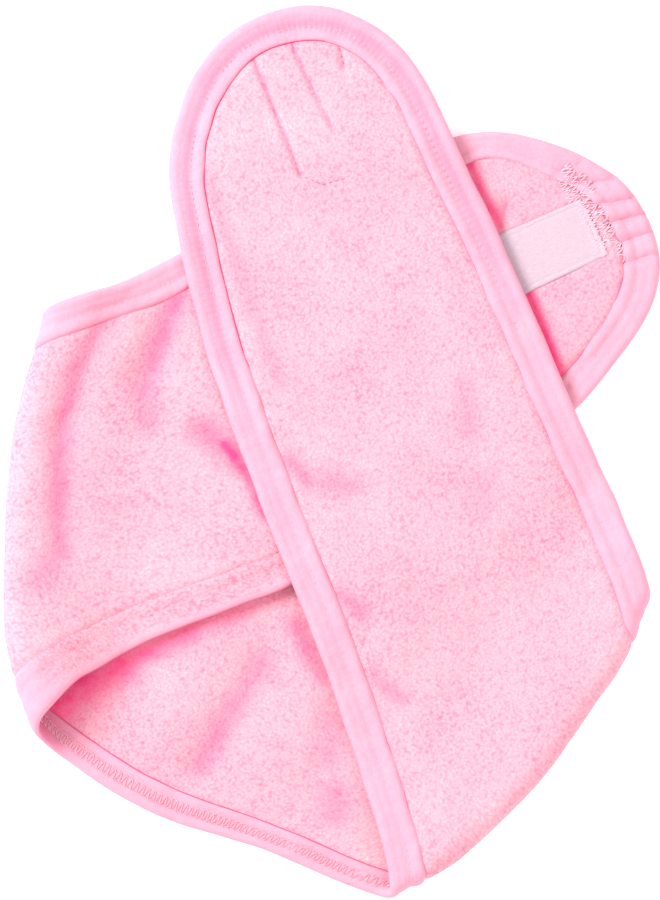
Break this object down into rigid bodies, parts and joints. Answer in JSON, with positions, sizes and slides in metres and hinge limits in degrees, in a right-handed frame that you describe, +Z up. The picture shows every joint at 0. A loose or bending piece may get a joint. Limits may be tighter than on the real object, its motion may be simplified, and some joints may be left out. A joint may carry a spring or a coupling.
{
  "type": "spa headband",
  "caption": "Terry spa headband with bound edges and a touch-tape closure, laid flat with the strip folded twice so that its ends cross.",
  "frame": {"origin": "centre of the plan box, on the surface that the band lies on", "axes": "+Z up from the table, +Y towards the closing flap's tip, +X towards the tab with the closure tape"},
  "size_m": [0.2054, 0.2768, 0.0151],
  "materials": {
    "terry": "soft looped terry pile, pink",
    "binding": "smooth knit binding, pink",
    "hook_tape": "white woven nylon touch tape",
    "loop_tape": "brushed nylon loop tape",
    "thread": "polyester sewing thread"
  },
  "bodies": {
    "band": {"terry_band": "terry", "binding_lower_edge": "binding", "binding_upper_edge": "binding"},
    "closing_flap": {"terry_closing_flap": "terry", "binding_closing_flap": "binding", "flap_closure_tape": "loop_tape", "flap_tape_stitching": "thread"},
    "tab_end": {"terry_tab_end": "terry", "binding_tab_end": "binding", "tab_closure_tape": "hook_tape", "tab_tape_stitching": "thread", "tab_bar_tack": "thread"}
  },
  "joints": [
    {"name": "closing_flap_lift", "type": "hinge", "parent": "band", "child": "closing_flap", "pos_m": [0.01474, 0.0312, 0.01173], "axis": [0.9434, 0.3317, 0], "range_deg": [0, 75]},
    {"name": "tab_lift", "type": "hinge", "parent": "band", "child": "tab_end", "pos_m": [0.0623, 0.05766, 0.0037], "axis": [0.4269, -0.9043, 0], "range_deg": [0, 70]}
  ]
}
